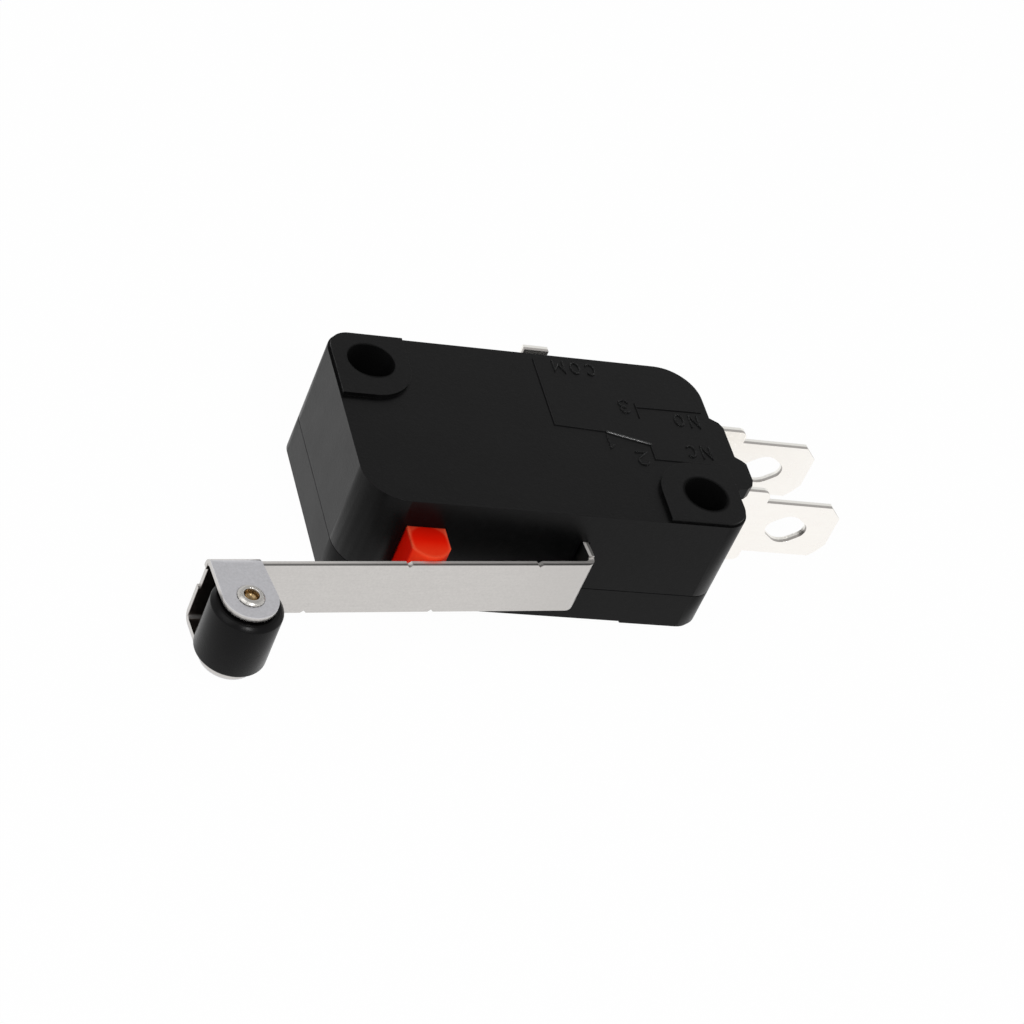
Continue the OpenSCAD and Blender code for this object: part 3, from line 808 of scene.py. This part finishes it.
def bead(mesh, points, width, height, level):
    """Adds a rounded raised line through points to a mesh, lying on the level."""
    closed = (points[0] - points[-1]).length < 1e-6
    if closed:
        points = points[:-1]
    count = len(points)
    profile = [(-cos(pi * i / 6), sin(pi * i / 6)) for i in range(7)]
    rings = []

    def ring(place, side, stretch=1.0):
        made = []
        for across, rise in profile:
            flat = place + side * (across * stretch * width / 2)
            made.append(mesh.verts.new((flat.x, flat.y, level + rise * height)))
        rings.append(made)

    def heading(i):
        before = points[(i - 1) % count]
        after = points[(i + 1) % count]
        if not closed:
            before = points[max(i - 1, 0)]
            after = points[min(i + 1, count - 1)]
        first = (points[i] - before).normalized() if (points[i] - before).length else None
        second = (after - points[i]).normalized() if (after - points[i]).length else None
        if first is None or second is None:
            return (first or second), 1.0
        middle = (first + second).normalized()
        return middle, 1.0 / max(0.5, middle.dot(first))

    for i in range(count):
        along, stretch = heading(i)
        side = Vector((-along.y, along.x))
        if not closed and i == 0:
            for k in (80, 55, 30):
                ring(points[i] - along * (sin(radians(k)) * width / 2), side, cos(radians(k)))
        ring(points[i], side, stretch)
        if not closed and i == count - 1:
            for k in (30, 55, 80):
                ring(points[i] + along * (sin(radians(k)) * width / 2), side, cos(radians(k)))
    last = len(rings) if closed else len(rings) - 1
    for i in range(last):
        near, far = rings[i], rings[(i + 1) % len(rings)]
        for k in range(len(profile) - 1):
            mesh.faces.new((near[k], near[k + 1], far[k + 1], far[k]))
    if not closed:
        mesh.faces.new(list(reversed(rings[0])))
        mesh.faces.new(rings[-1])


def raised_piece(name, strokes, width, height, material):
    """Builds one piece from strokes given in millimetres from the housing's corner."""
    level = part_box("case")[1].z - PAD_RISE
    mesh = bmesh.new()
    for stroke in strokes:
        points = [CORNER.xy + Vector(p) * MM for p in stroke]
        bead(mesh, points, width, height, level - 0.01 * MM)
    bmesh.ops.recalc_face_normals(mesh, faces=mesh.faces)
    for face in mesh.faces:
        face.smooth = True
    data = bpy.data.meshes.new(name)
    mesh.to_mesh(data)
    mesh.free()
    piece = bpy.data.objects.new(name, data)
    bpy.context.scene.collection.objects.link(piece)
    data.materials.append(material)
    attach(piece, "housing")
    return piece


def polished(name, specular, roughness, relief=0.0):
    """Smooth moulded relief that glints where it faces a lamp."""
    finish = new_finish(name)
    grain = finish.noise(finish.place(CORNER), 6.0, 3.0, 0.6)
    return finish.surface(
        Base_Color=finish.mix(grain, (0.0018, 0.0018, 0.002), (0.003, 0.003, 0.0032)),
        Roughness=grain * 0.04 + (roughness - 0.02),
        Specular_IOR_Level=specular,
        Normal=finish.bump(grain, relief, 0.9),
    )


class SWITCH_OT_markings(bpy.types.Operator):
    """Raise the circuit diagram and the terminal letters on the marked face"""

    bl_idname = "switch.markings"
    bl_label = "Markings"

    def execute(self, context):
        settings = context.scene.switch_markings
        matt = polished("line_moulding", 0.05, 0.35, 0.01)
        plastic = polished("letter_moulding", 0.10, 0.10, 0.12)
        glossy = polished("arm_moulding", 0.6, 0.24, 0.002)
        line, relief = settings.line, settings.relief
        fixed_lines = [
            [(15.36, 15.30), (15.33, 8.71), (19.08, 8.50)],
            [(22.18, 11.66), (22.18, 10.30)],
            [(22.18, 11.32), (27.20, 11.40)],
            [(22.26, 7.38), (22.24, 6.14), (27.16, 6.16)],
        ]
        raised_piece("diagram_lines", fixed_lines, line, relief, matt)
        arm = [[(19.22, 8.47), (22.26, 7.62)]]
        raised_piece("diagram_arm", arm, line * 1.3, relief * 2.2, glossy)
        letters = (
            lettering("COM", (18.36, 14.78), settings.letter)
            + lettering("NO", (25.85, 10.39), settings.letter)
            + lettering("NC", (25.90, 7.28), settings.letter)
        )
        raised_piece("terminal_letters", letters, line * 1.2, relief * 1.5, plastic)
        digits = (
            lettering("1", (19.21, 7.50), settings.digit)
            + lettering("2", (21.30, 6.12), settings.digit)
            + lettering("3", (21.28, 11.28), settings.digit)
        )
        raised_piece("terminal_numbers", digits, line * 1.2, relief * 1.5, plastic)
        return {"FINISHED"}


def view_rays(finish):
    """1 for rays that show the background: camera, glossy and transmission rays."""
    path = finish.node("ShaderNodeLightPath")
    seen = path.out("Is Camera Ray") + path.out("Is Glossy Ray") + path.out("Is Transmission Ray")
    return seen > 0.5


def lamp(name, direction, distance, size, power, target):
    """A rectangular lamp that looks at target from a direction."""
    data = bpy.data.lights.new(name, "AREA")
    data.shape = "RECTANGLE"
    data.size, data.size_y = size
    data.energy = power
    piece = bpy.data.objects.new(name, data)
    bpy.context.scene.collection.objects.link(piece)
    away = Vector(direction).normalized()
    piece.location = target + away * distance
    piece.rotation_euler = away.to_track_quat("Z", "Y").to_euler()
    return piece


class SWITCH_OT_stage(bpy.types.Operator):
    """Set the floor, the lamps, the surroundings and the camera"""

    bl_idname = "switch.stage"
    bl_label = "Stage"

    def execute(self, context):
        settings = context.scene.switch_stage
        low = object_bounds()[0]
        middle = Vector((-0.0119351, 0.0022526, 0.005))  # point that the camera looks at

        finish = new_finish("floor_pale")
        shade = finish.node("ShaderNodeBsdfDiffuse", {}, {"Color": (*settings.floor_colour, 1.0)})
        glow = finish.node("ShaderNodeEmission", {}, {"Color": (1, 1, 1, 1), "Strength": 1.0})
        joined = finish.node(
            "ShaderNodeMixShader", {}, {0: view_rays(finish) * 0.98, 1: shade, 2: glow}
        )
        finish.tree.links.new(joined.socket, finish.output.inputs["Surface"])
        mesh = bmesh.new()
        bmesh.ops.create_grid(mesh, x_segments=8, y_segments=8, size=1.5)
        data = bpy.data.meshes.new("floor")
        mesh.to_mesh(data)
        mesh.free()
        data.materials.append(finish.owner)
        floor = bpy.data.objects.new("floor", data)
        floor.location = (middle.x, middle.y, low.z - 0.02 * MM)
        context.scene.collection.objects.link(floor)
        floor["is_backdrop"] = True

        world = bpy.data.worlds.new("studio")
        context.scene.world = world
        finish = Finish(world, "ShaderNodeOutputWorld")
        direction = finish.node("ShaderNodeTexCoord").out("Generated")
        rise = finish.parts(direction)[2]
        sky = finish.ramp(rise, [(0.0, 1.0), (0.25, 0.96), (0.5, 0.78), (0.7, 0.66), (1.0, 0.55)])
        seen = view_rays(finish)
        sky_shader = finish.node(
            "ShaderNodeBackground", {}, {"Color": sky, "Strength": seen * 0.45 + 0.55}
        )
        finish.tree.links.new(sky_shader.socket, finish.output.inputs["Surface"])

        lamp("key_lamp", (0.02, -0.66, 0.75), 0.45, (0.07, 0.07), settings.key_power, middle)
        lamp("fill_lamp", (-0.75, -0.15, 0.9), 0.6, (0.4, 0.4), settings.fill_power, middle)

        forward = Vector(
            (
                sin(settings.azimuth) * cos(settings.elevation),
                cos(settings.azimuth) * cos(settings.elevation),
                -sin(settings.elevation),
            )
        )
        level_right = forward.cross(Vector((0, 0, 1))).normalized()
        level_up = level_right.cross(forward)
        up = level_up * cos(settings.roll) + level_right * sin(settings.roll)
        right = forward.cross(up)
        data = bpy.data.cameras.new("camera")
        data.lens = settings.lens
        data.clip_start = 0.01
        camera = bpy.data.objects.new("camera", data)
        turn = Matrix((right, up, -forward)).transposed().to_4x4()
        camera.matrix_world = Matrix.Translation(middle - forward * settings.distance) @ turn
        context.scene.collection.objects.link(camera)
        context.scene.camera = camera

        context.scene.view_settings.view_transform = "Standard"
        return {"FINISHED"}


class SWITCH_PT_sidebar(bpy.types.Panel):
    """Sizes, colours and steps of the switch"""

    bl_idname = "SWITCH_PT_sidebar"
    bl_label = "Roller Lever Switch"
    bl_space_type = "VIEW_3D"
    bl_region_type = "UI"
    bl_category = "Switch"

    def draw(self, context):
        for operator, group in STEPS:
            box = self.layout.box()
            box.operator(operator.bl_idname)
            settings = getattr(context.scene, group)
            for name in settings.__annotations__:
                box.prop(settings, name)


GROUPS = {
    "switch_housing": HousingSettings,
    "switch_markings": MarkingSettings,
    "switch_plunger": PlungerSettings,
    "switch_lever": LeverSettings,
    "switch_roller": RollerSettings,
    "switch_terminals": TerminalSettings,
    "switch_mechanism": MechanismSettings,
    "switch_stage": StageSettings,
}

STEPS = [
    (SWITCH_OT_housing, "switch_housing"),
    (SWITCH_OT_plunger, "switch_plunger"),
    (SWITCH_OT_lever, "switch_lever"),
    (SWITCH_OT_roller, "switch_roller"),
    (SWITCH_OT_terminals, "switch_terminals"),
    (SWITCH_OT_mechanism, "switch_mechanism"),
    (SWITCH_OT_markings, "switch_markings"),
    (SWITCH_OT_stage, "switch_stage"),
]


def register():
    for name, group in GROUPS.items():
        bpy.utils.register_class(group)
        setattr(bpy.types.Scene, name, PointerProperty(type=group))
    for operator, _ in STEPS:
        bpy.utils.register_class(operator)
    bpy.utils.register_class(SWITCH_PT_sidebar)


def unregister():
    bpy.utils.unregister_class(SWITCH_PT_sidebar)
    for operator, _ in reversed(STEPS):
        bpy.utils.unregister_class(operator)
    for name, group in reversed(GROUPS.items()):
        delattr(bpy.types.Scene, name)
        bpy.utils.unregister_class(group)


def main():
    register()
    bpy.ops.switch.housing()
    bpy.ops.switch.plunger()
    bpy.ops.switch.lever()
    bpy.ops.switch.roller()
    bpy.ops.switch.terminals()
    bpy.ops.switch.mechanism()
    bpy.ops.switch.markings()
    bpy.ops.switch.stage()


if __name__ == "__main__":
    main()
